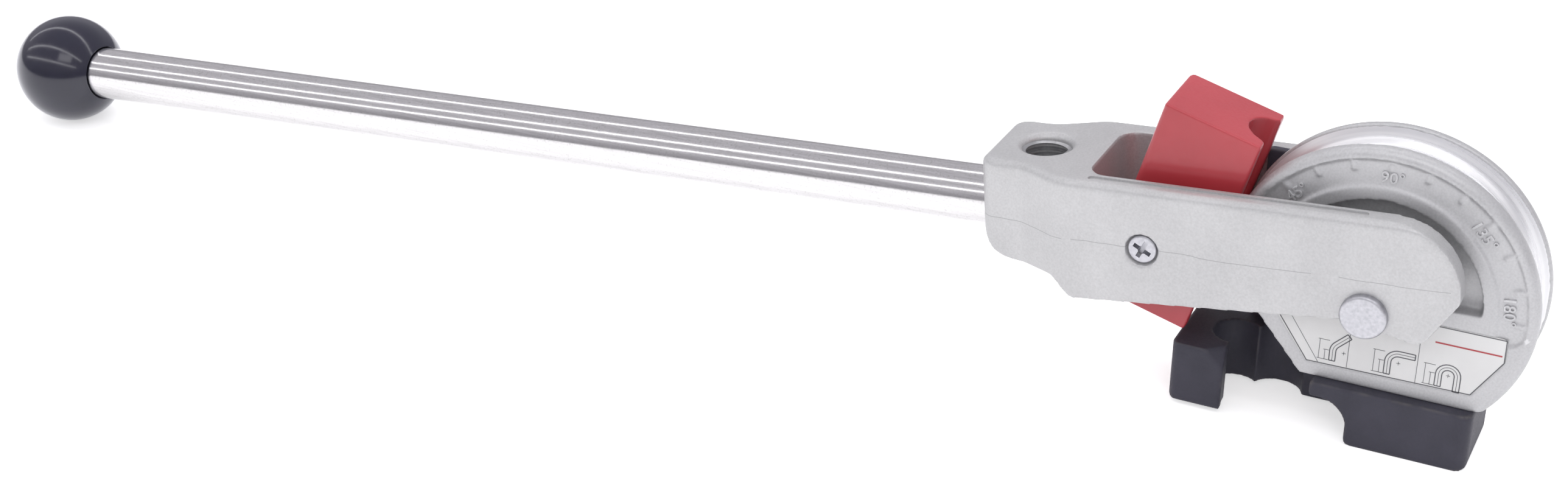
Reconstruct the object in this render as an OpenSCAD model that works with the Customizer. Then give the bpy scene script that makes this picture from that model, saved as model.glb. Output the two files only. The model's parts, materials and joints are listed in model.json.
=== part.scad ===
// Hand pipe bender: hooked vice base, grooved bending former, forked lever with a tilting slide.
// Millimetres. Z up, pivot axis along Y, origin on the underside of the foot below the pivot.

/* [Pipe] */
// outside diameter of the pipe
pipe_d = 15; // [12:0.5:16]
// bend radius, pivot to pipe axis
bend_r = 47.5; // [46:0.5:54]

/* [Lever] */
// outside diameter of the lever tube
tube_d = 20; // [18:0.5:22]
// wall of the lever tube
tube_wall = 2; // [1.5:0.25:3]
// pivot to the centre of the ball, along the lever
lever_len = 525; // [350:25:650]
// diameter of the ball
ball_d = 41.8; // [36:0.2:48]

/* [Fork] */
// clear gap between the arms
fork_gap = 35; // [35:0.5:40]
// thickness of each arm
arm_t = 7.5; // [6:0.5:9]
// top of the arms above the pivot
arm_top = 31; // [28:0.5:34]

/* [Base] */
// height of the pivot above the foot
pivot_h = 51.2; // [50:0.2:60]

/* [Slide] */
// width of the slide
slide_w = 26.4; // [24:0.2:26.8]
// length of the slide along its groove
slide_len = 69.5; // [60:0.5:72]
// lean of the slide when the bender rests
slide_lean = 15.5; // [13:0.5:17]

/* [Hidden] */
$fn = 96;
rim_r = bend_r + 0.5;
groove_r = pipe_d / 2 + 0.1;
former_y = 12;
tube_r = tube_d / 2;
ball_r = ball_d / 2;
arm_in = fork_gap / 2;
arm_out = arm_in + arm_t;
lever_z = 10;
droop = asin((pivot_h + lever_z - ball_r) / lever_len);
head_x = -bend_r - 78;
tube_end = head_x + 4;
stud_r = tube_r - tube_wall;
knob_x = -lever_len + 13;
screw_x = -bend_r - 21.3;
screw_z = 10.7;
slide_y = slide_w / 2;
slide_face = 20;
slide_low = -26.4;
base_f = -16;
base_m = arm_in - 1.1;
floor_z = -pivot_h;
seat_z = -31.6;
hook_top = -29;
hook_low = -49.5;
hook_x = -bend_r + 4.5;
pin_r = 5;
socket_x = head_x + 17;
head_y = 17.5;
head_r = 6;
edge_r = 2.2;
arm_end = 27.7;
arm_round = 21;
arm_low = 16.8;
foot_l = 15.6;
foot_r = 34;
foot_b = base_m + 0.4;
knob_bore = 24;
clear = 60;

// outline whose corners [a, b, radius] are rounded
function unit(v) = v / norm(v);
function flat(c) = [c[0], c[1]];
function corner(a, b, c, n) =
    let (p = flat(b), u = unit(flat(a) - p), w = unit(flat(c) - p), half = acos(u * w) / 2,
        o = p + unit(u + w) * b[2] / sin(half), p1 = p + u * b[2] / tan(half) - o,
        p2 = p + w * b[2] / tan(half) - o, a1 = atan2(p1[1], p1[0]), a2 = atan2(p2[1], p2[0]),
        turn = a2 - a1 > 180 ? a2 - a1 - 360 : a2 - a1 < -180 ? a2 - a1 + 360 : a2 - a1)
    [for (i = [0:n]) o + b[2] * [cos(a1 + turn * i / n), sin(a1 + turn * i / n)]];
function soft(c, n = 7) = let (k = len(c)) [for (i = [0:k - 1])
    each (c[i][2] == 0 ? [flat(c[i])] : corner(c[(i + k - 1) % k], c[i], c[(i + 1) % k], n))];

// outlines swept along Y, Z and X, and rods along each way
module side(c, y0, y1) {
    translate([0, y1, 0]) rotate([90, 0, 0]) linear_extrude(height = y1 - y0) polygon(soft(c));
}
module plan(c, z0, z1) {
    translate([0, 0, z0]) linear_extrude(height = z1 - z0) polygon(soft(c));
}
module section(c, x0, x1) {
    translate([x0, 0, 0]) rotate([90, 0, 90]) linear_extrude(height = x1 - x0) polygon(soft(c));
}
module rod_y(x, z, r, y0, y1, r2 = -1) {
    translate([x, y1, z]) rotate([90, 0, 0]) cylinder(h = y1 - y0, r1 = r2 < 0 ? r : r2, r2 = r);
}
module rod_x(x0, x1, z, r) {
    translate([x0, 0, z]) rotate([0, 90, 0]) cylinder(h = x1 - x0, r = r);
}
module rod_z(x, y, r, z0, z1) {
    translate([x, y, z0]) cylinder(h = z1 - z0, r = r);
}

// frames of the three bodies
module on_base() {
    translate([0, 0, pivot_h]) children();
}
module on_lever() {
    translate([0, 0, pivot_h]) rotate([0, -droop, 0]) children();
}
module on_slide() {
    on_lever() translate([screw_x, 0, screw_z]) rotate([0, slide_lean + droop, 0]) children();
}

// places of the fasteners under the former
bolt_x = [4, 25];
dowel_y = [-6, 8];

module base_block() color([0.17, 0.17, 0.2]) on_base() difference() {
    union() {
        intersection() {
            side([[-foot_l, seat_z, 0.8], [foot_r, seat_z, 1.2], [foot_r, floor_z, 1.5], [-3.2, floor_z, 1.5],
                [-3.2, -36.7, 9], [-foot_l, -36.7, 0.8]], base_f, foot_b);
            plan([[-foot_l, base_f, 1], [foot_r, base_f, 4], [foot_r, foot_b, 4], [-foot_l, foot_b, 1]],
                floor_z, seat_z);
        }
        hook();
        side([[-43, 29.7, 1.5], [10, 29.7, 18], [31, 12, 14], [31, -45, 0], [-43, -45, 0]], 13.6, base_m);
    }
    rod_y(0, 0, pin_r + 2, 0, 40);
    for (x = bolt_x) {
        rod_z(x, 1, 3.3, floor_z - 1, 0);
        rod_z(x, 1, 5.6, floor_z - 1, floor_z + 9);
    }
    for (y = dowel_y) rod_z(14.5, y, 2.5, -38, 0);
}

module hook() {
    left = -bend_r - 12.7;
    difference() {
        intersection() {
            plan([[left, base_f, 3.5], [0, base_f, 0], [0, base_m, 0], [left, base_m, 6]],
                hook_low, hook_top);
            side([[left, hook_top, 1], [-28, hook_top, 1], [-24, -33, 0], [0, -33, 0], [0, hook_low, 0],
                [left, hook_low, 1.2]], base_f, base_m);
        }
        rod_z(hook_x, 0, groove_r + 0.2, -60, 0);
        rod_z(hook_x + 13, 2.5, 8.2, -60, 0);
        plan([[hook_x + 0.4, -30, 0], [hook_x + 0.4, base_f - 1, 0], [hook_x - 0.6, -10, 1],
            [hook_x - 1, -5, 0], [hook_x + 6, 4.7, 0], [-3.4, 4.7, 0], [-3.4, -30, 0]], -60, 0);
        translate([hook_x - 3.6, base_f, hook_top - 2.6]) rotate([0, 54.74, -45])
            translate([-15, -15, 0]) cube([30, 30, 20]);
    }
}

module former_outline(y0, y1) {
    side([[-60, 60, 0], [60, 60, 0], [60, seat_z, 0], [-20, seat_z, 2.5], [-rim_r + 0.6, 0.6, 0],
        [-60, 0.6, 0]], y0, y1);
}

chart = [[-34.5, -4.8, 2], [40.4, -4.8, 2], [40.4, -13, 6], [32, -26.4, 2], [-18.4, -27.2, 2]];

// scale band with round ends
band_r = rim_r - 7.6;
band = concat([for (a = [-4:4:168]) (band_r + 4.5) * [cos(a), sin(a)]],
    [for (a = [188:20:328]) band_r * [cos(168), sin(168)] + 4.5 * [cos(a), sin(a)]],
    [for (a = [168:-4:-4]) (band_r - 4.5) * [cos(a), sin(a)]],
    [for (a = [196:20:336]) band_r * [cos(-4), sin(-4)] + 4.5 * [cos(a), sin(a)]]);

module bending_former() color([0.8, 0.8, 0.82]) on_base() difference() {
    union() {
        intersection() {
            rotate([90, 0, 0]) rotate_extrude() difference() {
                polygon(soft([[0, -former_y, 0], [rim_r, -former_y, 2.8], [rim_r, former_y, 2.8],
                    [0, former_y, 0]]));
                translate([bend_r, 0]) circle(r = groove_r);
            }
            former_outline(-30, 30);
        }
        intersection() {
            rod_y(0, 0, 28, 0, 13.6);
            former_outline(-30, 30);
        }
        rod_y(0, 0, 9, -arm_in + 1.1, 0);
    }
    difference() {
        rod_y(0, 0, rim_r - 16.3, -20, -7);
        rod_y(0, 0, 10.5, -20, -7);
        translate([-60, -30, -59.3]) cube([120, 60, 60]);
    }
    difference() {
        translate([0, -former_y + 0.8, 0]) rotate([90, 0, 0]) linear_extrude(height = 3) polygon(band);
        for (a = [0:15:165]) rotate([0, -a, 0])
            translate([rim_r - 6.6, -former_y + 0.2, -0.45]) cube([2.3, 4, 0.9]);
    }
    difference() {
        side(chart, -former_y - 1, -former_y + 0.6);
        rod_y(0, 0, 11, -20, 0);
    }
    rod_y(0, 0, pin_r + 2, -40, 40);
    for (x = bolt_x) rod_z(x, 1, 3, -40, -18);
    for (y = dowel_y) rod_z(14.5, y, 2.5, -40, -23);
}

module former_bolts() color([0.6, 0.6, 0.62]) on_base() for (x = bolt_x) {
    rod_z(x, 1, 3, floor_z + 8, -18);
    difference() {
        rod_z(x, 1, 5, floor_z + 2, floor_z + 8);
        translate([x, 1, floor_z + 1]) cylinder(h = 4, r = 2.9, $fn = 6);
    }
}

module bolt_washers() color([0.65, 0.65, 0.66]) on_base() for (x = bolt_x) difference() {
    rod_z(x, 1, 5.3, floor_z + 8, floor_z + 9);
    rod_z(x, 1, 3, floor_z, 0);
}

module former_dowels() color([0.6, 0.6, 0.62]) on_base() for (y = dowel_y) rod_z(14.5, y, 2.5, -38, -23);

module pivot_bush() color([0.75, 0.6, 0.3]) on_base() difference() {
    rod_y(0, 0, pin_r + 2, -arm_in + 1.1, base_m);
    rod_y(0, 0, pin_r + 0.05, -40, 40);
}

module thrust_washers() color([0.65, 0.65, 0.66]) on_base() for (y = [-arm_in + 0.1, base_m]) difference() {
    rod_y(0, 0, 9, y, y + 1);
    rod_y(0, 0, pin_r + 0.4, -40, 40);
}

module bend_chart() color([0.93, 0.93, 0.9]) on_base() difference() {
    side([for (c = chart) [c[0] * 0.993, c[1] - 0.004 * (c[1] + 15.7) * 5, c[2] - 0.3]],
        -former_y + 0.1, -former_y + 0.6);
    rod_y(0, 0, 11.3, -20, 0);
}

module fork() color([0.8, 0.8, 0.82]) on_lever() difference() {
    union() {
        intersection() {
            side([[head_x, arm_top, 3], [arm_end, arm_top, arm_round], [arm_end, 8, 4],
                [arm_low, -8, 5], [8.5, -6, 0], [0, -4, 0], [-7, -2.8, 0], [head_x + 33, -9.6, 3],
                [head_x + 26.5, -3.2, 4], [head_x, -3.2, 12]], -arm_out, arm_out);
            plan([[head_x, -head_y, head_r], [head_x + 14, -head_y, 10], [head_x + 29, -arm_out, 10],
                [clear, -arm_out, 0], [clear, arm_out, 0], [head_x + 29, arm_out, 10],
                [head_x + 14, head_y, 10], [head_x, head_y, head_r]], -15, arm_top);
            section([[-arm_out, arm_top, edge_r], [arm_out, arm_top, edge_r], [arm_out, -15, 0],
                [-arm_out, -15, 0]], head_x - 1, clear);
        }
        rod_y(0, 0, 7.1, -arm_out, arm_out);
    }
    plan([[head_x + 36.8, -arm_in, 6], [2 * clear, -arm_in, 0], [2 * clear, arm_in, 0],
        [head_x + 36.8, arm_in, 6]], -clear, clear);
    rod_x(head_x - 1, tube_end, lever_z, tube_r);
    rod_x(head_x - 1, head_x + 25, lever_z, stud_r);
    rod_z(socket_x, 0, stud_r, lever_z + stud_r + 1.2, arm_top + 1);
    translate([socket_x, 0, arm_top - 1.4]) cylinder(h = 1.5, r1 = stud_r, r2 = stud_r + 1.5);
    translate([head_x + 39.5, -arm_in - 4.8, arm_top - 0.6]) cube([-head_x - 41.5, 3.4, 2]);
    for (x = [head_x + 39.5, -2]) rod_z(x, -arm_in - 3.1, 1.7, arm_top - 0.6, arm_top + 1);
    rod_y(screw_x, screw_z, 5.2, -arm_out - 1, -arm_out + 2.2);
    rod_y(screw_x, screw_z, 3, -clear, clear);
    rod_y(0, 0, pin_r, -clear, clear);
}

module lever_tube() color([0.75, 0.75, 0.78]) on_lever() difference() {
    rod_x(knob_x, tube_end, lever_z, tube_r);
    rod_x(knob_x - 1, tube_end + 1, lever_z, stud_r);
}

module lever_stud() color([0.6, 0.6, 0.62]) on_lever() difference() {
    rod_x(tube_end - 20, head_x + 24, lever_z, stud_r);
    rod_x(head_x + 22, head_x + 25, lever_z, 2);
}

module ball_knob() color([0.08, 0.09, 0.12]) on_lever() difference() {
    translate([-lever_len, 0, lever_z]) sphere(r = ball_r);
    rod_x(knob_x, knob_x + 40, lever_z, tube_r);
    rod_x(knob_x - knob_bore, knob_x + 1, lever_z, tube_r - 1);
}

module knob_stud() color([0.6, 0.6, 0.62]) on_lever() {
    rod_x(knob_x, knob_x + 20, lever_z, stud_r);
    rod_x(knob_x - knob_bore + 2, knob_x, lever_z, 6);
}

module knob_insert() color([0.75, 0.6, 0.3]) on_lever() difference() {
    rod_x(knob_x - knob_bore + 1, knob_x, lever_z, tube_r - 1);
    rod_x(knob_x - knob_bore + 2, knob_x + 1, lever_z, 6);
}

module pivot_pin() color([0.72, 0.72, 0.74]) on_lever() {
    rod_y(0, 0, pin_r, -arm_out, arm_out + 1.1);
    rod_y(0, 0, 7.2, -arm_out - 1.1, -arm_out);
    rod_y(0, 0, 6.2, -arm_out - 2.1, -arm_out - 1.1, 7.2);
    rod_y(0, 0, pin_r - 0.8, arm_out + 1.1, arm_out + 2.1);
    rod_y(0, 0, pin_r, arm_out + 2.1, arm_out + 3.6);
}

module pivot_washer() color([0.65, 0.65, 0.66]) on_lever() difference() {
    rod_y(0, 0, 8.5, arm_out, arm_out + 1.1);
    rod_y(0, 0, pin_r, 0, 60);
}

module pivot_clip() color([0.5, 0.5, 0.52]) on_lever() difference() {
    rod_y(0, 0, 7, arm_out + 1.1, arm_out + 2.1);
    rod_y(0, 0, pin_r - 0.8, 0, 60);
    translate([-1.5, 0, 0]) cube([3, clear, clear]);
}

module slide_screw() color([0.7, 0.7, 0.72]) on_lever() difference() {
    union() {
        rod_y(screw_x, screw_z, 4.6, -arm_out + 0.7, -arm_out + 2.2);
        rod_y(screw_x, screw_z, 3, -arm_out + 2.2, arm_out + 6);
    }
    for (a = [45, 135]) translate([screw_x, -arm_out, screw_z]) rotate([0, a, 0])
        translate([-2.6, -1, -0.55]) cube([5.2, 2.4, 1.1]);
}

module slide_nut() color([0.65, 0.65, 0.66]) on_lever() difference() {
    translate([screw_x, arm_out + 5, screw_z]) rotate([90, 0, 0]) cylinder(h = 5, r = 5.77, $fn = 6);
    rod_y(screw_x, screw_z, 3, 0, 60);
}

module slide_sleeve() color([0.65, 0.65, 0.66]) on_lever() difference() {
    rod_y(screw_x, screw_z, 5, -arm_in, arm_in);
    rod_y(screw_x, screw_z, 3, -clear, clear);
}

module slide_spacers() color([0.65, 0.65, 0.66]) on_lever() for (y = [-arm_in, slide_y + 0.2]) difference() {
    rod_y(screw_x, screw_z, 8, y, y + arm_in - slide_y - 0.2);
    rod_y(screw_x, screw_z, 5, -clear, clear);
}

module slide_block() color([0.75, 0.17, 0.2]) on_slide() difference() {
    intersection() {
        side([[slide_face - 31.9, slide_low, 9], [slide_face, slide_low, 1.2],
            [slide_face, slide_low + slide_len, 0.8], [slide_face - 31.9, slide_low + slide_len, 1]],
            -slide_y, slide_y);
        plan([[slide_face - 31.9, -slide_y, 2], [slide_face, -slide_y, 0.6], [slide_face, slide_y, 0.6],
            [slide_face - 31.9, slide_y, 2]], -60, 80);
    }
    rod_z(slide_face + 0.4, 0, groove_r + 0.4, -60, 80);
    for (m = [0, 1]) mirror([0, m, 0]) translate([slide_face, groove_r + 0.2, 0]) rotate([0, 0, 45])
        translate([-1, -1, -60]) cube([2, 2, 140]);
    rod_y(0, 0, 7, -clear, clear);
}

module slide_bush() color([0.75, 0.6, 0.3]) on_slide() difference() {
    rod_y(0, 0, 7, -slide_y, slide_y);
    rod_y(0, 0, 5.05, -clear, clear);
}

base_block();
bending_former();
former_bolts();
bolt_washers();
former_dowels();
pivot_bush();
thrust_washers();
bend_chart();
fork();
lever_tube();
lever_stud();
ball_knob();
knob_stud();
knob_insert();
pivot_pin();
pivot_washer();
pivot_clip();
slide_screw();
slide_nut();
slide_sleeve();
slide_spacers();
slide_block();
slide_bush();
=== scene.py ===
# %% [markdown]
# A hand pipe bender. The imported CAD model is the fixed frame: it says where each piece is and which
# body it moves with. This lesson dresses that frame: cast metal gets soft edges, the lever gets its
# shine, and the former gets its scale and its chart.

# %% Load the frame
import json
import math

import bpy
from mathutils import Matrix, Vector


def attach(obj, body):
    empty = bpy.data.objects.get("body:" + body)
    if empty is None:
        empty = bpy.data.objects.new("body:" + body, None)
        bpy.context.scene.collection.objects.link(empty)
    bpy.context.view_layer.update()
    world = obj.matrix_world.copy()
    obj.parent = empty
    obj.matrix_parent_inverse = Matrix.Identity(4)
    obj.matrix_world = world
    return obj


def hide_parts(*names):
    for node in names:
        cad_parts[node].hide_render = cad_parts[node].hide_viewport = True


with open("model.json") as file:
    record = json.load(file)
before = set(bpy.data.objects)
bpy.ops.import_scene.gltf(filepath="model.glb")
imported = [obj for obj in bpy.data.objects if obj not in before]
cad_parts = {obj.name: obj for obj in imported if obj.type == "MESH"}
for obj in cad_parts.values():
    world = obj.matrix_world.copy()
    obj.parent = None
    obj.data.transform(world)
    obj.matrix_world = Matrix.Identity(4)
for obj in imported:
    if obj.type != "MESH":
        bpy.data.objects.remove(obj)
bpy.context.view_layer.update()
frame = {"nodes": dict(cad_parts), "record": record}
record = frame["record"]
MM = 0.001
joints = {joint["name"]: joint for joint in record["behaviour"]["joints"]}
mounts = {mount["name"]: mount for mount in record["mounts"]}
PIVOT = Vector(joints["lever_swing"]["pos_m"])
SCREW = Vector(joints["slide_tilt"]["pos_m"])
socket_axis = Vector(mounts["lever_socket"]["axis"])
DROOP = math.atan2(-socket_axis.x, socket_axis.z)
print("pivot", PIVOT, "droop", round(math.degrees(DROOP), 2))

# %% [markdown]
# The camera stands a little to the right of the bender and looks down on it. Its place was solved once
# from the picture's main corners, so its three angles and its focal length are plain values here.

# %% Camera
CAMERA_PLACE = (0.11552, -0.63601, 0.38698)
CAMERA_TURN = (62.44, 0.07, 26.68)
FOCAL_PIXELS = 3805.2
IMAGE_WIDTH = 2576
SENSOR = 36.0
NEAREST = 0.01

bpy.ops.object.select_all(action="DESELECT")
bpy.ops.object.camera_add(location=CAMERA_PLACE, rotation=[math.radians(a) for a in CAMERA_TURN])
camera = bpy.context.object
camera.data.sensor_fit = "HORIZONTAL"
camera.data.sensor_width = SENSOR
camera.data.lens = FOCAL_PIXELS * SENSOR / IMAGE_WIDTH
camera.data.clip_start = NEAREST
bpy.context.scene.camera = camera
bpy.context.scene.view_settings.view_transform = "Standard"
print("lens", round(camera.data.lens, 2))

# %% [markdown]
# A material is a small graph of nodes. These helpers add a node, join sockets and start a graph with
# Object coordinates, which stay on the piece when it moves.

# %% Helpers for materials
def start_material(name):
    """A material with its node tree, its shader and Object coordinates."""
    material = bpy.data.materials.new(name)
    material.use_nodes = True
    tree = material.node_tree
    shader = tree.nodes["Principled BSDF"]
    place = tree.nodes.new("ShaderNodeTexCoord")
    return material, tree, shader, place.outputs["Object"]


def add_node(tree, kind, inputs=None, **settings):
    """One node, its settings, and its inputs set to a value or joined to a socket."""
    made = tree.nodes.new(kind)
    for key, value in settings.items():
        setattr(made, key, value)
    for key, value in (inputs or {}).items():
        if isinstance(value, bpy.types.NodeSocket):
            tree.links.new(value, made.inputs[key])
        else:
            made.inputs[key].default_value = value
    return made


def noise(tree, place, scale, detail=3.0, stretch=(1, 1, 1), turn=(0, 0, 0)):
    """Noise of so many grains a metre, stretched or turned by a Mapping node."""
    mapped = add_node(tree, "ShaderNodeMapping", {"Vector": place, "Scale": stretch, "Rotation": turn})
    grain = add_node(tree, "ShaderNodeTexNoise",
                     {"Vector": mapped.outputs["Vector"], "Scale": scale, "Detail": detail})
    return grain.outputs["Fac"]


def ramp(tree, value, low, high, start, end):
    """A value or a colour that runs from start to end while the input runs from low to high."""
    made = add_node(tree, "ShaderNodeValToRGB", {"Fac": value})
    for i, (position, tone) in enumerate(((low, start), (high, end))):
        made.color_ramp.elements[i].position = position
        made.color_ramp.elements[i].color = (*tone, 1) if len(tone) == 3 else (*tone * 3, 1)
    return made.outputs["Color"]


def math_node(tree, operation, first, second=0.0, third=0.0):
    """One step of arithmetic on values or sockets."""
    inputs = {0: first, 1: second, 2: third}
    return add_node(tree, "ShaderNodeMath", inputs, operation=operation).outputs[0]


def mix_colour(tree, share, first, second):
    """Two colours mixed by a share."""
    made = add_node(tree, "ShaderNodeMix", {"Factor": share}, data_type="RGBA", blend_type="MIX")
    for socket, value in ((made.inputs[6], first), (made.inputs[7], second)):
        if isinstance(value, bpy.types.NodeSocket):
            tree.links.new(value, socket)
        else:
            socket.default_value = (*value, 1)
    return made.outputs[2]


def bump(tree, shader, height, strength, depth):
    """Small relief on the shader's normal."""
    made = add_node(tree, "ShaderNodeBump", {"Height": height, "Strength": strength, "Distance": depth})
    tree.links.new(made.outputs["Normal"], shader.inputs["Normal"])


# %% [markdown]
# The castings are blasted aluminium: pale, satin, with a fine grain. Noise gives the grain and a slow cloud
# over it, and Pointiness, which is high on a convex edge, gives a painted highlight along the edges.

# %% Cast aluminium
BLAST_GRAIN = 1500
BLAST_CLOUD = 55
EDGE_HIGHLIGHT = (0.86, 0.86, 0.87)
CAST_METALLIC = 0.5
SATIN = ((0.42,), (0.56,))


def grained_cast(name, dark, light):
    """The blasted skin that the fork and the former share, and the sockets that each adds to."""
    material, tree, shader, place = start_material(name)
    grain = noise(tree, place, BLAST_GRAIN, 4.0)
    cloud = noise(tree, place, BLAST_CLOUD, 2.0)
    colour = ramp(tree, grain, 0.3, 0.7, dark, light)
    colour = mix_colour(tree, 0.35, colour, ramp(tree, cloud, 0.3, 0.75, dark, light))
    edge = add_node(tree, "ShaderNodeNewGeometry").outputs["Pointiness"]
    # Convex edges are mixed towards a pale tone: a painted highlight along the rounded edges.
    colour = mix_colour(tree, ramp(tree, edge, 0.53, 0.6, (0,), (0.5,)), colour, EDGE_HIGHLIGHT)
    shader.inputs["Metallic"].default_value = CAST_METALLIC
    return material, tree, shader, place, grain, colour


# %% [markdown]
# Where the two halves of the mould met, the fork has a thin wandering line. It lies at one height of the
# lever, so the pattern is moved to the pivot and turned level before its height is read.

# %% Fork finish
FORK_TONES = ((0.46, 0.46, 0.465), (0.6, 0.6, 0.605))
PARTING_TONE = (0.2, 0.2, 0.21)
PARTING_HEIGHT = 11.2 * MM
PARTING_HALF = 0.1 * MM
PARTING_WANDER = 3.0 * MM


def fork_finish():
    """Cast skin with the mould's parting line."""
    material, tree, shader, place, grain, colour = grained_cast("fork_cast", *FORK_TONES)
    moved = add_node(tree, "ShaderNodeMapping", {"Vector": place, "Location": -PIVOT}, vector_type="POINT")
    level = add_node(tree, "ShaderNodeMapping",
                     {"Vector": moved.outputs["Vector"], "Rotation": (0, DROOP, 0)})
    height = add_node(tree, "ShaderNodeSeparateXYZ", {"Vector": level.outputs["Vector"]}).outputs["Z"]
    wander = noise(tree, place, 45, 3.0)
    wander = math_node(tree, "MULTIPLY_ADD", wander, PARTING_WANDER, -PARTING_WANDER / 2)
    above = math_node(tree, "SUBTRACT", height, PARTING_HEIGHT)
    gap = math_node(tree, "ABSOLUTE", math_node(tree, "ADD", above, wander))
    line = math_node(tree, "LESS_THAN", gap, PARTING_HALF)
    broken = math_node(tree, "GREATER_THAN", noise(tree, place, 60, 1.0), 0.4)
    line = math_node(tree, "MULTIPLY", line, broken)
    colour = mix_colour(tree, math_node(tree, "MULTIPLY", line, 0.6), colour, PARTING_TONE)
    tree.links.new(colour, shader.inputs["Base Color"])
    tree.links.new(ramp(tree, grain, 0.3, 0.7, *SATIN), shader.inputs["Roughness"])
    relief = math_node(tree, "SUBTRACT", grain, math_node(tree, "MULTIPLY", line, 0.8))
    bump(tree, shader, relief, 0.28, 0.12 * MM)
    return material


cast_fork = fork_finish()
print("made", cast_fork.name)

# %% [markdown]
# The former's groove is turned on a lathe, so it is smoother and brighter than the cast sides, with rings
# that follow the rim. The groove is found by two measures: the width across, and the reach from the pivot.

# %% Former finish
FORMER_TONES = ((0.46, 0.46, 0.47), (0.6, 0.6, 0.61))
TURNED_TONES = ((0.74, 0.74, 0.76), (0.88, 0.88, 0.89))
TURNED_GLOSS = ((0.24,), (0.34,))
RING_STRETCH = (0.01, 3.0, 0.01)
GROOVE_HALF = 7.6 * MM
GROOVE_FLOOR = 39.0 * MM


def former_finish():
    """Cast skin with a turned groove."""
    material, tree, shader, place, grain, colour = grained_cast("former_cast", *FORMER_TONES)
    split = add_node(tree, "ShaderNodeSeparateXYZ", {"Vector": place})
    along = split.outputs["X"]
    across = split.outputs["Y"]
    up = math_node(tree, "SUBTRACT", split.outputs["Z"], PIVOT.z)
    up_square = math_node(tree, "MULTIPLY", up, up)
    along_square = math_node(tree, "MULTIPLY", along, along)
    reach = math_node(tree, "SQRT", math_node(tree, "ADD", up_square, along_square))
    between = math_node(tree, "LESS_THAN", math_node(tree, "ABSOLUTE", across), GROOVE_HALF)
    inside = math_node(tree, "MULTIPLY", between, math_node(tree, "GREATER_THAN", reach, GROOVE_FLOOR))
    rings = noise(tree, place, 900, 2.0, stretch=RING_STRETCH)
    lathed = ramp(tree, rings, 0.35, 0.65, *TURNED_TONES)
    tree.links.new(mix_colour(tree, inside, colour, lathed), shader.inputs["Base Color"])
    satin = ramp(tree, grain, 0.3, 0.7, *SATIN)
    fine = ramp(tree, rings, 0.3, 0.7, *TURNED_GLOSS)
    tree.links.new(mix_colour(tree, inside, satin, fine), shader.inputs["Roughness"])
    bump(tree, shader, mix_colour(tree, inside, grain, rings), 0.22, 0.1 * MM)
    return material


cast_former = former_finish()
print("made", cast_former.name)

# %% [markdown]
# The lever's tube is plated and bright. It is nearly all reflection, so what shows that it is a drawn tube
# are faint streaks along it and a few pits, which disturb the gloss a little.

# %% Tube finish
TUBE_TONES = ((0.58, 0.57, 0.575), (0.7, 0.69, 0.7))
PIT_TONE = (0.4, 0.39, 0.38)
STREAK_STRETCH = (0.02, 1, 1)


def tube_finish():
    """Bright plated tube with streaks along the lever."""
    material, tree, shader, place = start_material("tube_bright")
    streak = noise(tree, place, 1500, 3.0, stretch=STREAK_STRETCH, turn=(0, DROOP, 0))
    pits = noise(tree, place, 1400, 3.0)
    colour = ramp(tree, streak, 0.25, 0.75, *TUBE_TONES)
    pitted = ramp(tree, pits, 0.56, 0.7, (0,), (0.35,))
    tree.links.new(mix_colour(tree, pitted, colour, PIT_TONE), shader.inputs["Base Color"])
    shader.inputs["Metallic"].default_value = 1.0
    tree.links.new(ramp(tree, pits, 0.3, 0.7, (0.1,), (0.2,)), shader.inputs["Roughness"])
    bump(tree, shader, mix_colour(tree, 0.5, streak, pits), 0.05, 0.04 * MM)
    return material


bright_tube = tube_finish()
print("made", bright_tube.name)

# %% [markdown]
# The base is dark painted steel. Paint rubs off where a hand or a vice touches it, which is on the edges,
# and never evenly, so the rub is Pointiness times a patchy noise.

# %% Base paint
PAINT_TONES = ((0.044, 0.043, 0.058), (0.06, 0.058, 0.078))
RUBBED_PAINT = (0.15, 0.14, 0.13)
PAINT_SPECULAR = 0.28


def painted_finish():
    """Dark paint on steel, rubbed paler on its edges."""
    material, tree, shader, place = start_material("base_paint")
    grain = noise(tree, place, 1300, 4.0)
    rub = noise(tree, place, 160, 4.0)
    edge = add_node(tree, "ShaderNodeNewGeometry").outputs["Pointiness"]
    on_edges = ramp(tree, edge, 0.52, 0.6, (0,), (1,))
    in_patches = ramp(tree, rub, 0.42, 0.62, (0,), (1,))
    worn = math_node(tree, "MULTIPLY", on_edges, in_patches)
    colour = ramp(tree, noise(tree, place, 70, 3.0), 0.3, 0.7, *PAINT_TONES)
    tree.links.new(mix_colour(tree, worn, colour, RUBBED_PAINT), shader.inputs["Base Color"])
    tree.links.new(ramp(tree, grain, 0.3, 0.7, (0.5,), (0.64,)), shader.inputs["Roughness"])
    shader.inputs["Specular IOR Level"].default_value = PAINT_SPECULAR
    bump(tree, shader, grain, 0.15, 0.08 * MM)
    return material


black_paint = painted_finish()
print("made", black_paint.name)

# %% [markdown]
# The slide is red nylon, the ball is glossy dark plastic, and the chart is a printed plate. All three are
# moulded or printed skins that differ in tone, gloss and grain, so one function makes them.

# %% Moulded finishes
COAT_ROUGHNESS = 0.12
COAT_TINT = (0.9, 0.9, 1, 1)
GLOSS_COAT = 0.4
PLATE_GRAIN = 700
PLATE_RELIEF = 0.03


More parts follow.
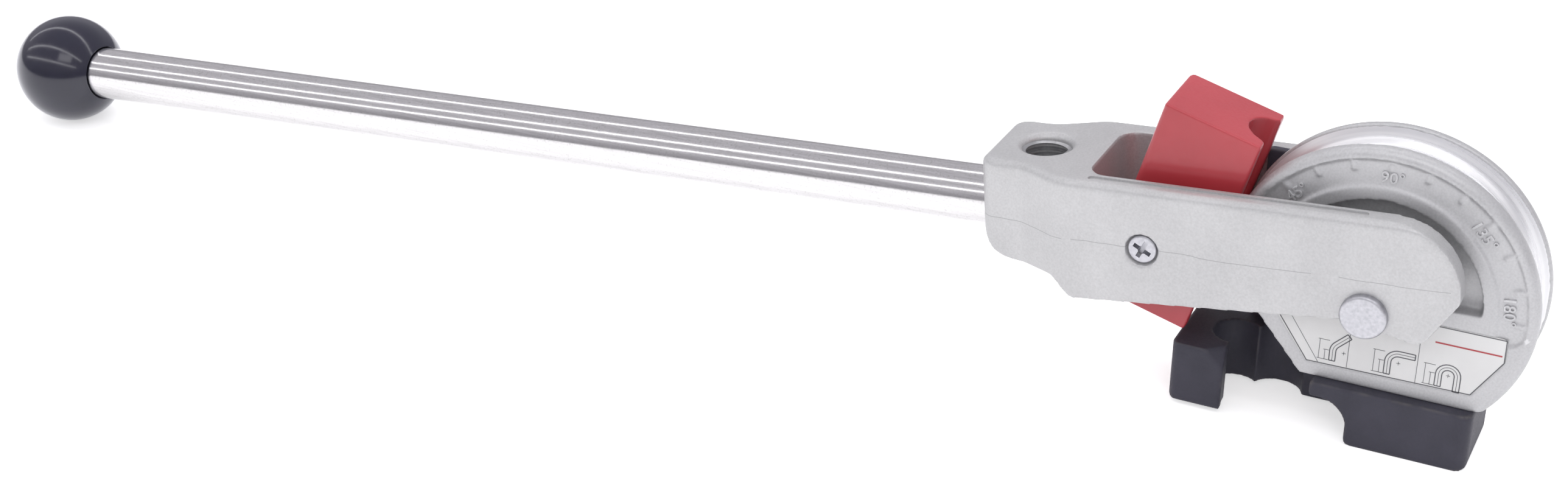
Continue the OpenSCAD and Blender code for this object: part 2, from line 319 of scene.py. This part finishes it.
def moulded_finish(name, dark, light, rough, grain_size=PLATE_GRAIN, relief=PLATE_RELIEF, coat=0.0):
    """Moulded plastic or print: a slow colour change, a fine grain and a set gloss."""
    material, tree, shader, place = start_material(name)
    grain = noise(tree, place, grain_size, 4.0)
    cloud = noise(tree, place, 40, 3.0)
    tree.links.new(ramp(tree, cloud, 0.3, 0.7, dark, light), shader.inputs["Base Color"])
    low, high = rough
    tree.links.new(ramp(tree, grain, 0.3, 0.7, (low,), (high,)), shader.inputs["Roughness"])
    shader.inputs["Coat Weight"].default_value = coat
    shader.inputs["Coat Roughness"].default_value = COAT_ROUGHNESS
    shader.inputs["Coat Tint"].default_value = COAT_TINT
    bump(tree, shader, grain, relief, 0.08 * MM)
    return material


red_nylon = moulded_finish("red_nylon", (0.44, 0.035, 0.043), (0.52, 0.047, 0.057), (0.3, 0.42),
                           grain_size=1100, relief=0.12, coat=GLOSS_COAT)
dark_ball = moulded_finish("ball_gloss", (0.008, 0.008, 0.02), (0.013, 0.013, 0.03), (0.14, 0.2),
                           grain_size=380, relief=0.02, coat=GLOSS_COAT)
chart_white = moulded_finish("chart_white", (0.78, 0.78, 0.77), (0.86, 0.86, 0.85), (0.35, 0.45))
chart_grey = moulded_finish("chart_grey", (0.09, 0.09, 0.1), (0.14, 0.14, 0.15), (0.4, 0.5))
chart_red = moulded_finish("chart_red", (0.42, 0.05, 0.06), (0.5, 0.07, 0.08), (0.4, 0.5))
print("moulded finishes made")

# %% [markdown]
# The fixings are bright zinc, the hidden studs plain steel, and the bearings bronze. Each is bare metal
# with a brushed skin and a few duller blotches.

# %% Plain metals
BRUSHED = (1, 0.05, 1)


def bright_finish(name, dark, light, rough):
    """Plated or plain metal with a brushed and slightly cloudy skin."""
    material, tree, shader, place = start_material(name)
    brushed = noise(tree, place, 900, 4.0, stretch=BRUSHED)
    blotch = noise(tree, place, 260, 3.0)
    colour = ramp(tree, brushed, 0.3, 0.7, dark, light)
    spots = ramp(tree, blotch, 0.35, 0.65, dark, light)
    tree.links.new(mix_colour(tree, 0.3, colour, spots), shader.inputs["Base Color"])
    shader.inputs["Metallic"].default_value = 1.0
    low, high = rough
    tree.links.new(ramp(tree, blotch, 0.3, 0.7, (low,), (high,)), shader.inputs["Roughness"])
    bump(tree, shader, brushed, 0.15, 0.06 * MM)
    return material


zinc = bright_finish("zinc_bright", (0.38, 0.38, 0.41), (0.54, 0.54, 0.57), (0.34, 0.46))
steel = bright_finish("plain_steel", (0.4, 0.4, 0.41), (0.56, 0.56, 0.57), (0.3, 0.42))
bronze = bright_finish("bearing_bronze", (0.5, 0.34, 0.14), (0.66, 0.47, 0.22), (0.28, 0.4))
print("finishes", len(bpy.data.materials))

# %% [markdown]
# At rest the lever droops towards its ball, so its pieces are drawn in the lever's own frame: along it,
# across it and up from it, in millimetres from the pivot. The other helpers do what a hand would do in
# Blender: select one piece, edit all of it, cut it with another, and hand it to its body.

# %% Helpers for pieces
LEVER_WAY = Vector((math.cos(DROOP), 0, math.sin(DROOP)))
LEVER_UP = Vector((-math.sin(DROOP), 0, math.cos(DROOP)))
ACROSS = Vector((0, 1, 0))
MERGE_GAP = 1e-6


def on_lever(along, across, up):
    """A point of the lever's own frame, in millimetres from the pivot, as a point of the scene."""
    return PIVOT + (LEVER_WAY * along + ACROSS * across + LEVER_UP * up) * MM


def alone(piece):
    """Only this piece is selected and active."""
    bpy.ops.object.select_all(action="DESELECT")
    piece.select_set(True)
    bpy.context.view_layer.objects.active = piece


def edit_all():
    """Edit mode on the active piece, with all of it selected."""
    bpy.ops.object.mode_set(mode="EDIT")
    bpy.ops.mesh.select_all(action="SELECT")


def face_outwards():
    """Turns every face of the edited piece outwards and leaves edit mode."""
    bpy.ops.mesh.select_all(action="SELECT")
    bpy.ops.mesh.normals_make_consistent(inside=False)
    bpy.ops.object.mode_set(mode="OBJECT")


def new_piece(name, points, edges=(), faces=()):
    """A mesh object from points in metres."""
    mesh = bpy.data.meshes.new(name)
    mesh.from_pydata([tuple(point) for point in points], list(edges), list(faces))
    piece = bpy.data.objects.new(name, mesh)
    bpy.context.collection.objects.link(piece)
    alone(piece)
    return piece


def cut_with(piece, tool, operation):
    """One boolean cut, after which the tool is gone."""
    alone(piece)
    cut = piece.modifiers.new("cut", "BOOLEAN")
    cut.operation = operation
    cut.solver = "EXACT"
    cut.object = tool
    bpy.ops.object.modifier_apply(modifier=cut.name)
    bpy.data.objects.remove(tool)


def dress(piece, material, body, slot, *nodes):
    """Finish, body and the CAD nodes that a piece stands for; the slot argument is not used."""
    piece.data.materials.clear()
    piece.data.materials.append(material)
    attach(piece, body)
    if nodes:
        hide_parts(*nodes)
    print(piece.name, len(piece.data.polygons), "faces on", body)


# %% [markdown]
# A casting has no sharp edges. The quickest true way to soften every edge of a solid at once is to
# rebuild its skin from small voxels and then smooth it a few times: flat faces stay flat and corners
# become small rounds. Voxels leave steps on a sloping face, so a leaning piece is turned level first.

# %% Soft castings
CAST_VOXEL = 0.6 * MM
CAST_ROUNDS = 3
SLIDE_VOXEL = 0.5 * MM
SLIDE_ROUNDS = 2
SLIDE_LEAN = math.radians(15.5)


def solid_copy(node, name):
    """A copy of a CAD solid whose faces are joined at their edges."""
    piece = bpy.data.objects.new(name, frame["nodes"][node].data.copy())
    bpy.context.collection.objects.link(piece)
    alone(piece)
    edit_all()
    bpy.ops.mesh.remove_doubles(threshold=MERGE_GAP)
    bpy.ops.object.mode_set(mode="OBJECT")
    return piece


def soften(piece, voxel, rounds, tilt=0.0):
    """Rounds every edge of a piece by voxels and smoothing, with the voxels turned level with the piece."""
    alone(piece)
    piece.data.transform(Matrix.Rotation(-tilt, 4, "Y"))
    remesh = piece.modifiers.new("skin", "REMESH")
    remesh.mode = "VOXEL"
    remesh.voxel_size = voxel
    bpy.ops.object.modifier_apply(modifier=remesh.name)
    smooth = piece.modifiers.new("rounds", "SMOOTH")
    smooth.factor = 0.5
    smooth.iterations = rounds
    bpy.ops.object.modifier_apply(modifier=smooth.name)
    piece.data.transform(Matrix.Rotation(tilt, 4, "Y"))
    bpy.ops.object.shade_smooth()


former = solid_copy("bending_former", "former_casting")
soften(former, CAST_VOXEL, CAST_ROUNDS)
dress(former, cast_former, "base", "former_alu", "bending_former")
base = solid_copy("base_block", "base_casting")
soften(base, CAST_VOXEL, CAST_ROUNDS)
dress(base, black_paint, "base", "base_black", "base_block")
slide = solid_copy("slide_block", "slide_shoe")
soften(slide, SLIDE_VOXEL, SLIDE_ROUNDS, SLIDE_LEAN)
dress(slide, red_nylon, "slide", "slide_red", "slide_block")

# %% [markdown]
# The fork has one generous round that runs along its whole top edge: across the head, out along the curved
# shoulders and down both arms. A blank is drawn round the fork's outline from above, raised, and bevelled
# on its top face. What the solid and the blank share is the fork with that round.

# %% Blank round the fork
HEAD_X = -125.5
HEAD_HALF = 17.5
HEAD_CORNER = 6
HEAD_SIDE = 14
SHOULDER_END = 29
SHOULDER_ROUND = 14
ARM_HALF = 25.0
ARM_TOP = 31.0
BLANK_END = 60
BLANK_LOW = -20.0
BLANK_OVER = 0.03
CORNER_STEPS = 8
TOP_ROUND = 2.4
TOP_STEPS = 6


def rounded(corners, steps):
    """Points of an outline whose corners (x, y, radius) are rounded."""
    points = []
    for i, (x, y, radius) in enumerate(corners):
        spot = Vector((x, y))
        if radius == 0:
            points.append(spot)
            continue
        back = (Vector(corners[i - 1][:2]) - spot).normalized()
        ahead = (Vector(corners[(i + 1) % len(corners)][:2]) - spot).normalized()
        half = back.angle(ahead) / 2
        middle = spot + (back + ahead).normalized() * radius / math.sin(half)
        first = spot + back * radius / math.tan(half) - middle
        last = spot + ahead * radius / math.tan(half) - middle
        for k in range(steps + 1):
            share = first.lerp(last, k / steps).normalized()
            points.append(middle + share * radius)
    return points


def fork_blank():
    """A block over the fork's outline with a round along its top edge."""
    head_x = HEAD_X - BLANK_OVER
    head_half = HEAD_HALF + BLANK_OVER
    arm_half = ARM_HALF + BLANK_OVER
    near_side = [(head_x, -head_half, HEAD_CORNER), (head_x + HEAD_SIDE, -head_half, SHOULDER_ROUND),
                 (head_x + SHOULDER_END, -arm_half, SHOULDER_ROUND), (BLANK_END, -arm_half, 0)]
    far_side = [(x, -y, radius) for x, y, radius in reversed(near_side)]
    outline = rounded(near_side + far_side, CORNER_STEPS)
    block = new_piece("fork_blank", [on_lever(spot.x, spot.y, BLANK_LOW) for spot in outline],
                      faces=[tuple(range(len(outline)))])
    edit_all()
    rise = LEVER_UP * (ARM_TOP + BLANK_OVER - BLANK_LOW) * MM
    bpy.ops.mesh.extrude_region_move(TRANSFORM_OT_translate={"value": rise})
    bpy.ops.mesh.bevel(offset=TOP_ROUND * MM, segments=TOP_STEPS, affect="EDGES")
    face_outwards()
    return block


# %% [markdown]
# The near arm has a long sunk strip with round ends. Voxels would leave its thin edge ragged, so it is
# filled before the fork is softened and cut again, crisp, at the end.

# %% Fork
STRIP_LEFT = -86.0
STRIP_RIGHT = -2.0
STRIP_Y = -20.6
STRIP_HALF = 1.3
STRIP_FLOOR = 30.35
STRIP_END_STEPS = 12
FILLER_OVER = 0.6
CUTTER_OVER = 1
FORK_VOXEL = 0.65 * MM
FORK_ROUNDS = 4
FORK_CREASE = math.radians(40)


def strip_blank(name, half, top):
    """A block with round ends over the sunk strip on the near arm, from the strip's floor up to top."""
    points = []
    for x, start in ((STRIP_LEFT, 90), (STRIP_RIGHT, -90)):
        for k in range(STRIP_END_STEPS + 1):
            a = math.radians(start + 180 * k / STRIP_END_STEPS)
            points.append(on_lever(x + half * math.cos(a), STRIP_Y + half * math.sin(a), STRIP_FLOOR))
    block = new_piece(name, points, faces=[tuple(range(len(points)))])
    edit_all()
    rise = LEVER_UP * (top - STRIP_FLOOR) * MM
    bpy.ops.mesh.extrude_region_move(TRANSFORM_OT_translate={"value": rise})
    face_outwards()
    return block


blank = fork_blank()
fork = solid_copy("fork", "fork_casting")
filler = strip_blank("strip_filler", STRIP_HALF + FILLER_OVER, ARM_TOP + BLANK_OVER / 2)
cut_with(fork, filler, "UNION")
cut_with(fork, blank, "INTERSECT")
soften(fork, FORK_VOXEL, FORK_ROUNDS, -DROOP)
cut_with(fork, strip_blank("strip_cutter", STRIP_HALF, ARM_TOP + CUTTER_OVER), "DIFFERENCE")
alone(fork)
bpy.ops.object.shade_smooth_by_angle(angle=FORK_CREASE)
dress(fork, cast_fork, "lever", "fork_alu", "fork")

# %% [markdown]
# Round pieces are turned, as on a lathe: half of the outline is drawn beside an axis and spun once round.
# The first and last points may lie on the axis, where the spin closes them into a pole.

# %% Lathe
TURN_STEPS = 96
TURN_CREASE = math.radians(35)


def turned(name, start, way, outline, closed=False, steps=TURN_STEPS):
    """Spins an outline of (distance along the axis, radius) in millimetres round the axis from start."""
    side = way.orthogonal().normalized()
    points = [start + (way * along + side * radius) * MM for along, radius in outline]
    edges = [(i, i + 1) for i in range(len(points) - 1)]
    if closed:
        edges.append((len(points) - 1, 0))
    piece = new_piece(name, points, edges)
    edit_all()
    bpy.ops.mesh.spin(steps=steps, angle=2 * math.pi, center=start, axis=way)
    bpy.ops.mesh.select_all(action="SELECT")
    bpy.ops.mesh.remove_doubles(threshold=MERGE_GAP)
    face_outwards()
    bpy.ops.object.shade_smooth_by_angle(angle=TURN_CREASE)
    return piece


def arc(centre, radius, first, last, steps):
    """Points of a round in an outline, angles in degrees from the axis."""
    turn = [math.radians(first + (last - first) * i / steps) for i in range(steps + 1)]
    return [(centre[0] + radius * math.cos(a), centre[1] + radius * math.sin(a)) for a in turn]


# %% [markdown]
# The lever is a plain tube with small rounds at its ends, and the ball is a sphere whose mouth is turned
# to the tube. The ball's outline is one long arc, then a small lip and the wall of its bore.

# %% Lever tube and ball
TUBE_RADIUS = 10.0
TUBE_BORE = 8.0
TUBE_START = -512.0
TUBE_END = -121.5
LEVER_HEIGHT = 10.0
LIP = 0.5
BALL_X = -525.0
BALL_RADIUS = 20.9
BALL_STEPS = 48
MOUTH_RADIUS = 10.15
MOUTH_EASE = 0.15
BORE_SPARE = 0.2

tube_length = TUBE_END - TUBE_START
tube_outline = [(0, TUBE_BORE), (0, TUBE_RADIUS - LIP), (LIP, TUBE_RADIUS)]
tube_outline += [(tube_length - LIP, TUBE_RADIUS), (tube_length, TUBE_RADIUS - LIP), (tube_length, TUBE_BORE)]
tube_start = on_lever(TUBE_START, 0, LEVER_HEIGHT)
tube = turned("lever_tube_bright", tube_start, LEVER_WAY, tube_outline, closed=True)
dress(tube, bright_tube, "lever", "tube_chrome", "lever_tube")

mouth_angle = math.degrees(math.asin((MOUTH_RADIUS + LIP) / BALL_RADIUS))
mouth_x = BALL_RADIUS * math.cos(math.radians(mouth_angle))
bore_end = TUBE_START - BALL_X + BORE_SPARE
ball_outline = arc((0, 0), BALL_RADIUS, 180, mouth_angle, BALL_STEPS)
ball_outline += [(mouth_x - MOUTH_EASE, MOUTH_RADIUS + MOUTH_EASE), (mouth_x - LIP, MOUTH_RADIUS)]
ball_outline += [(bore_end, MOUTH_RADIUS), (bore_end, 0)]
ball = turned("ball_dark", on_lever(BALL_X, 0, LEVER_HEIGHT), LEVER_WAY, ball_outline)
dress(ball, dark_ball, "lever", "knob_plastic", "ball_knob")

# %% [markdown]
# The pivot pin shows its flat head with a rounded edge outside the arm, and ends in a small chamfer.

# %% Pivot pin
ARM_FACE = -25.0
PIN_RADIUS = 5.0
PIN_HEAD = 7.2
PIN_ROUND = 1.2
PIN_PROUD = 2.1
PIN_TAIL = 53.6
PIN_CHAMFER = 0.6

pin_start = PIVOT + Vector((0, (ARM_FACE - PIN_PROUD) * MM, 0))
pin_end = PIN_TAIL + PIN_PROUD
pin_outline = [(0, 0), (0, PIN_HEAD - PIN_ROUND)]
pin_outline += arc((PIN_ROUND, PIN_HEAD - PIN_ROUND), PIN_ROUND, 180, 90, 6)[1:]
pin_outline += [(PIN_PROUD, PIN_HEAD), (PIN_PROUD, PIN_RADIUS), (pin_end - PIN_CHAMFER, PIN_RADIUS)]
pin_outline += [(pin_end, PIN_RADIUS - PIN_CHAMFER), (pin_end, 0)]
pin = turned("pivot_pin_zinc", pin_start, ACROSS, pin_outline)
dress(pin, zinc, "lever", "pin_steel", "pivot_pin")

# %% [markdown]
# The slide's screw sits a little below the arm's face, and its cross recess is cut with two crossed bars
# and a small square pit.

# %% Slide screw
SCREW_HEAD = 4.6
SCREW_ROUND = 0.6
SCREW_EASE = 0.8
SCREW_SUNK = 0.7
SCREW_SEAT = 2.2
SCREW_SHANK = 3.0
SCREW_TAIL = 56.0
SCREW_STEPS = 64
RECESS_ARM = 3.0
RECESS_WIDTH = 1.4
RECESS_DEPTH = 2.4
RECESS_TURN = 25
PIT_WIDTH = 2.6

screw_start = SCREW + Vector((0, (ARM_FACE + SCREW_SUNK) * MM, 0))
screw_outline = [(0, 0), (0, SCREW_HEAD - SCREW_EASE)]
screw_outline += arc((SCREW_ROUND, SCREW_HEAD - SCREW_ROUND), SCREW_ROUND, 180, 90, 5)[1:]
screw_outline += [(SCREW_SEAT - SCREW_SUNK, SCREW_HEAD), (SCREW_SEAT - SCREW_SUNK, SCREW_SHANK)]
screw_outline += [(SCREW_TAIL - SCREW_SUNK, SCREW_SHANK), (SCREW_TAIL - SCREW_SUNK, 0)]
screw = turned("slide_screw_zinc", screw_start, ACROSS, screw_outline, steps=SCREW_STEPS)


def cut_bar(piece, turn, width, length):
    """Cuts one bar of the recess into a screw head."""
    bpy.ops.object.select_all(action="DESELECT")
    bpy.ops.mesh.primitive_cube_add(size=1, location=screw_start, rotation=(0, math.radians(turn), 0),
                                    scale=(length * MM, 2 * RECESS_DEPTH * MM, width * MM))
    cut_with(piece, bpy.context.object, "DIFFERENCE")


for turn in (RECESS_TURN, RECESS_TURN + 90):
    cut_bar(screw, turn, RECESS_WIDTH, 2 * RECESS_ARM)
cut_bar(screw, RECESS_TURN + 45, PIT_WIDTH, PIT_WIDTH)
alone(screw)
bpy.ops.object.shade_smooth_by_angle(angle=TURN_CREASE)
dress(screw, zinc, "lever", "pin_steel", "slide_screw")

# %% [markdown]
# The socket in the fork's head has a thread for the lever's stud. A thread is one small outline with a
# flat crest, carried round the axis while it climbs, which is what the Screw modifier does. Its open ends
# are then closed.

# %% Socket thread
SOCKET_X = -108.5
SOCKET_RADIUS = 8.0
PITCH = 2.0
THREAD_TURNS = 5
THREAD_TOP = 29.6
THREAD_STEPS = 48
THREAD_CREASE = math.radians(25)
CREST = 1.1
ROOT_OVER = 0.6
CREST_LOW = 0.75
CREST_HIGH = 1.05
RIDGE_WIDTH = 1.8

thread_low = THREAD_TOP - PITCH * (THREAD_TURNS + 0.5)
root = SOCKET_RADIUS + ROOT_OVER
crest = SOCKET_RADIUS - CREST
ridge = [(root, 0), (crest, CREST_LOW), (crest, CREST_HIGH), (root, RIDGE_WIDTH)]
thread = new_piece("socket_thread", [Vector((radius * MM, 0, up * MM)) for radius, up in ridge],
                   [(0, 1), (1, 2), (2, 3), (3, 0)])
climb = thread.modifiers.new("climb", "SCREW")
climb.axis = "Z"
climb.angle = 2 * math.pi
climb.screw_offset = PITCH * MM
climb.iterations = THREAD_TURNS
climb.steps = climb.render_steps = THREAD_STEPS
bpy.ops.object.modifier_apply(modifier=climb.name)
thread_place = Matrix.Translation(on_lever(SOCKET_X, 0, thread_low))
thread.matrix_world = thread_place @ Matrix.Rotation(-DROOP, 4, "Y")
bpy.context.view_layer.update()
bpy.ops.object.transform_apply(location=True, rotation=True, scale=True)
edit_all()
bpy.ops.mesh.remove_doubles(threshold=MERGE_GAP)
bpy.ops.mesh.select_all(action="DESELECT")
bpy.ops.mesh.select_mode(type="EDGE")
bpy.ops.mesh.select_non_manifold()
bpy.ops.mesh.edge_face_add()
bpy.ops.mesh.select_mode(type="VERT")
face_outwards()
bpy.ops.object.shade_smooth_by_angle(angle=THREAD_CREASE)
dress(thread, steel, "lever", "steel")

# %% [markdown]
# The former's scale has raised numbers for the bend angle. Each is a text object made solid, made a mesh,
# and then turned to stand with its head towards the rim, because a finished piece is a mesh in place.

# %% Scale numbers
BAND_FLOOR = -11.2
NUMBER_RADIUS = 39.2
NUMBER_SIZE = 5.0
NUMBER_RAISE = 0.5
NUMBER_EDGE = 0.08
NUMBER_SPACING = 1.05
NUMBERS = {"45°": 133.0, "90°": 89.0, "135°": 43.0, "180°": 6.0}
UPRIGHT = Matrix.Rotation(math.radians(90), 4, "X")

for label, angle in NUMBERS.items():
    bpy.ops.object.select_all(action="DESELECT")
    bpy.ops.object.text_add()
    number = bpy.context.object
    number.name = "scale_number_" + label[:-1]
    number.data.body = label
    number.data.size = NUMBER_SIZE * MM
    number.data.align_x = "CENTER"
    number.data.align_y = "CENTER"
    number.data.extrude = NUMBER_RAISE * MM
    number.data.bevel_depth = NUMBER_EDGE * MM
    number.data.bevel_resolution = 1
    number.data.space_character = NUMBER_SPACING
    bpy.ops.object.convert(target="MESH")
    number = bpy.context.object
    out = math.radians(angle)
    outwards = Vector((math.cos(out), 0, math.sin(out)))
    spot = PIVOT + outwards * NUMBER_RADIUS * MM + ACROSS * BAND_FLOOR * MM
    lean = Matrix.Rotation(math.radians(90 - angle), 4, "Y")
    number.matrix_world = Matrix.Translation(spot) @ lean @ UPRIGHT
    bpy.context.view_layer.update()
    bpy.ops.object.transform_apply(location=True, rotation=True, scale=True)
    dress(number, cast_former, "base", "former_alu")

# %% [markdown]
# The chart beside the pivot is a printed plate. A printed line is a thin flat ribbon, so one helper makes
# a ribbon along any row of points and the solidify modifier gives it the depth of ink.

# %% Printed lines
INK_PLANE = -11.93
INK_DEPTH = 0.04
FINE = 0.16
BOLD = 0.32


def ribbon(points, width):
    """Corners and faces of a flat strip along points (x, z) in millimetres from the pivot."""
    corners = []
    for i, point in enumerate(points):
        before = Vector(points[max(i - 1, 0)])
        after = Vector(points[min(i + 1, len(points) - 1)])
        way = (after - before).normalized()
        side = Vector((-way.y, way.x)) * width / 2
        for sign in (1, -1):
            spot = Vector(point) + side * sign
            corners.append(PIVOT + Vector((spot.x, INK_PLANE, spot.y)) * MM)
    faces = [(2 * i, 2 * i + 1, 2 * i + 3, 2 * i + 2) for i in range(len(points) - 1)]
    return corners, faces


def printed(name, lines, material):
    """All lines of one colour as one thin piece on the chart."""
    corners = []
    faces = []
    for points, width in lines:
        more, strips = ribbon(points, width)
        faces += [tuple(len(corners) + i for i in strip) for strip in strips]
        corners += more
    piece = new_piece(name, corners, faces=faces)
    edit_all()
    face_outwards()
    depth = piece.modifiers.new("ink", "SOLIDIFY")
    depth.thickness = INK_DEPTH * MM
    depth.offset = 0
    bpy.ops.object.modifier_apply(modifier=depth.name)
    dress(piece, material, "base", "chart")


# %% [markdown]
# The chart shows three bends: a slight one, a right angle and a half turn. Each is drawn as a pipe with its
# middle line, two measuring lines at its left and a small cross at the middle of the bend.

# %% Bend signs
PIPE_HALF = 0.95
BEND_STEPS = 12
MEASURE_NEAR = 2.4
MEASURE_FAR = 4.2
TICK_OVER = 0.5
TICK_GAP = 1.2
CROSS_HALF = 0.6


def bend_path(foot, rise, radius, turn, run, shift):
    """Middle line of a bent pipe from its foot, moved sideways by shift: up, round to the right, on."""
    x, z = foot
    centre = (x + radius, z + rise)
    reach = radius - shift
    points = [(x + shift, z)]
    for i in range(BEND_STEPS + 1):
        a = math.radians(180 - turn * i / BEND_STEPS)
        points.append((centre[0] + reach * math.cos(a), centre[1] + reach * math.sin(a)))
    way = math.radians(90 - turn)
    last = points[-1]
    points.append((last[0] + run * math.cos(way), last[1] + run * math.sin(way)))
    return points


def bend_sign(*bend):
    """Pipe walls, middle line, ends, and the measuring lines beside one bend."""
    left, right, middle = [bend_path(*bend, shift) for shift in (-PIPE_HALF, PIPE_HALF, 0)]
    lines = [(left, BOLD), (right, BOLD), (middle, FINE)]
    lines += [([left[end], right[end]], BOLD) for end in (0, -1)]
    (x, z), rise, radius = bend[:3]
    for beside, high in ((x - MEASURE_NEAR, z + rise), (x - MEASURE_FAR, z + rise + radius)):
        lines.append(([(beside, z), (beside, high)], FINE))
        for level in (z, high):
            lines.append(([(beside - TICK_OVER, level), (x - TICK_GAP, level)], FINE))
    across, up = x + radius, z + rise
    lines.append(([(across - CROSS_HALF, up), (across + CROSS_HALF, up)], FINE))
    lines.append(([(across, up - CROSS_HALF), (across, up + CROSS_HALF)], FINE))
    return lines


# %% [markdown]
# The chart itself: a bold edge, two upright lines and a slanting one that part it into fields, the three
# bends, and one red rule. Each bend gives its foot, its rise, its radius, its turn and its last run.

# %% Chart print
CHART_EDGE = [(-33.2, -5.3), (39.9, -5.3), (40.0, -12.8), (31.7, -25.9), (-18.1, -26.7), (-33.2, -5.3)]
FIELD_X = (-5.7, 15.2)
FIELD_TOP = -5.5
FIELD_LOW = -26.2
FIELD_SLANT = [(-28.5, -6.0), (-14.6, -26.4)]
BENDS = (((-10.4, -25.0), 3.4, 3.4, 45, 5.2),
         ((6.4, -25.2), 4.4, 3.2, 90, 4.8),
         ((21.8, -25.4), 4.2, 2.8, 180, 5.0))
RED_RULE = [(19.5, -10.7), (39.2, -10.7)]
RED_WIDTH = 0.5

grey_lines = [(CHART_EDGE[i:i + 2], BOLD) for i in range(len(CHART_EDGE) - 1)]
grey_lines += [([(x, FIELD_TOP), (x, FIELD_LOW)], FINE) for x in FIELD_X]
grey_lines.append((FIELD_SLANT, FINE))
for bend in BENDS:
    grey_lines += bend_sign(*bend)
printed("chart_lines", grey_lines, chart_grey)
printed("chart_rule", [(RED_RULE, RED_WIDTH)], chart_red)

# %% [markdown]
# Light: a white studio with three long narrow lamps over the lever, as in a workshop. A polished tube shows
# each lamp as a bright line along it, and the darker horizon below them. The key lamp models the front,
# and the top lamp only lights: it is kept out of reflections, so the long lamps stay clear in the tube.

# %% Studio light
SKY_LOW = (0.34, 0.33, 0.355)
SKY_HIGH = (0.63, 0.62, 0.655)
SKY_TOP = 0.35
AIM_HEIGHT = 0.05
LONG_LAMP = (6.0, 0.07)
LONG_WATTS = 6.2
LONG_PLACES = {"strip_back": (-1.6, 0.44, 1.2), "strip_middle": (-1.6, -0.62, 1.2),
               "strip_front": (-1.6, -1.31, 0.9)}
KEY_PLACE = (0.2, -1.1, 1.3)
KEY_SIZE = (0.9, 0.5)
KEY_WATTS = 2.6
TOP_PLACE = (-0.1, 0.3, 1.4)
TOP_AIM = (-0.05, 0, AIM_HEIGHT)
TOP_SIZE = (1.2, 0.8)
TOP_WATTS = 6.4

world = bpy.data.worlds.new("studio")
bpy.context.scene.world = world
world.use_nodes = True
sky_tree = world.node_tree
sky = sky_tree.nodes["Background"]
sky_way = add_node(sky_tree, "ShaderNodeTexCoord").outputs["Generated"]
sky_height = add_node(sky_tree, "ShaderNodeSeparateXYZ", {"Vector": sky_way}).outputs["Z"]
sky_tone = ramp(sky_tree, sky_height, 0.0, SKY_TOP, SKY_LOW, SKY_HIGH)
sky_tree.links.new(sky_tone, sky.inputs["Color"])
sky.inputs["Strength"].default_value = 1.0


def soft_lamp(name, place, target, size, watts):
    """A flat lamp that faces a point."""
    bpy.ops.object.light_add(type="AREA", location=place)
    lamp = bpy.context.object
    lamp.name = name
    lamp.data.shape = "RECTANGLE"
    lamp.data.size, lamp.data.size_y = size
    lamp.data.energy = watts
    lamp.rotation_euler = (Vector(target) - Vector(place)).to_track_quat("-Z", "Y").to_euler()
    print("lamp", name, watts, "W")
    return lamp


for name, place in LONG_PLACES.items():
    soft_lamp(name, place, (place[0], 0, AIM_HEIGHT), LONG_LAMP, LONG_WATTS)
soft_lamp("key", KEY_PLACE, (0, 0, AIM_HEIGHT), KEY_SIZE, KEY_WATTS)
top_lamp = soft_lamp("top", TOP_PLACE, TOP_AIM, TOP_SIZE, TOP_WATTS)
top_lamp.visible_glossy = False

# %% [markdown]
# To the camera, and in the metal, the floor glows a little, so it reads as white paper and still keeps
# the shadow. It belongs to the stage and not to the bender.

# %% Floor
FLOOR_SIZE = 12
FLOOR_TONE = (0.92, 0.92, 0.92, 1)
FLOOR_ROUGHNESS = 0.9
FLOOR_GLOW = 0.56

bpy.ops.mesh.primitive_plane_add(size=FLOOR_SIZE)
floor = bpy.context.object
floor.name = "floor"
floor_paper, tree, shader = start_material("floor_paper")[:3]
shader.inputs["Base Color"].default_value = FLOOR_TONE
shader.inputs["Roughness"].default_value = FLOOR_ROUGHNESS
shader.inputs["Specular IOR Level"].default_value = 0.0
ray = add_node(tree, "ShaderNodeLightPath")
seen = math_node(tree, "MAXIMUM", ray.outputs["Is Camera Ray"], ray.outputs["Is Glossy Ray"])
shader.inputs["Emission Color"].default_value = (1, 1, 1, 1)
tree.links.new(math_node(tree, "MULTIPLY", seen, FLOOR_GLOW), shader.inputs["Emission Strength"])
floor.data.materials.append(floor_paper)
print("floor", FLOOR_SIZE, "m")

# %% [markdown]
# The small nodes that stay as the CAD made them get a finish of their own. Most are hidden inside, and
# show only when the bender is taken apart.

# %% Finishes for the remaining nodes
STAYING = {
    "lever_stud": steel, "knob_stud": steel, "knob_insert": bronze,
    "pivot_washer": zinc, "pivot_clip": steel, "pivot_bush": bronze, "thrust_washers": zinc,
    "slide_nut": zinc, "slide_sleeve": steel, "slide_spacers": zinc, "slide_bush": bronze,
    "former_bolts": steel, "bolt_washers": zinc, "former_dowels": steel,
    "bend_chart": chart_white,
}
for node, material in STAYING.items():
    piece = frame["nodes"][node]
    piece.data.materials.clear()
    piece.data.materials.append(material)
print("kept nodes", len(STAYING))
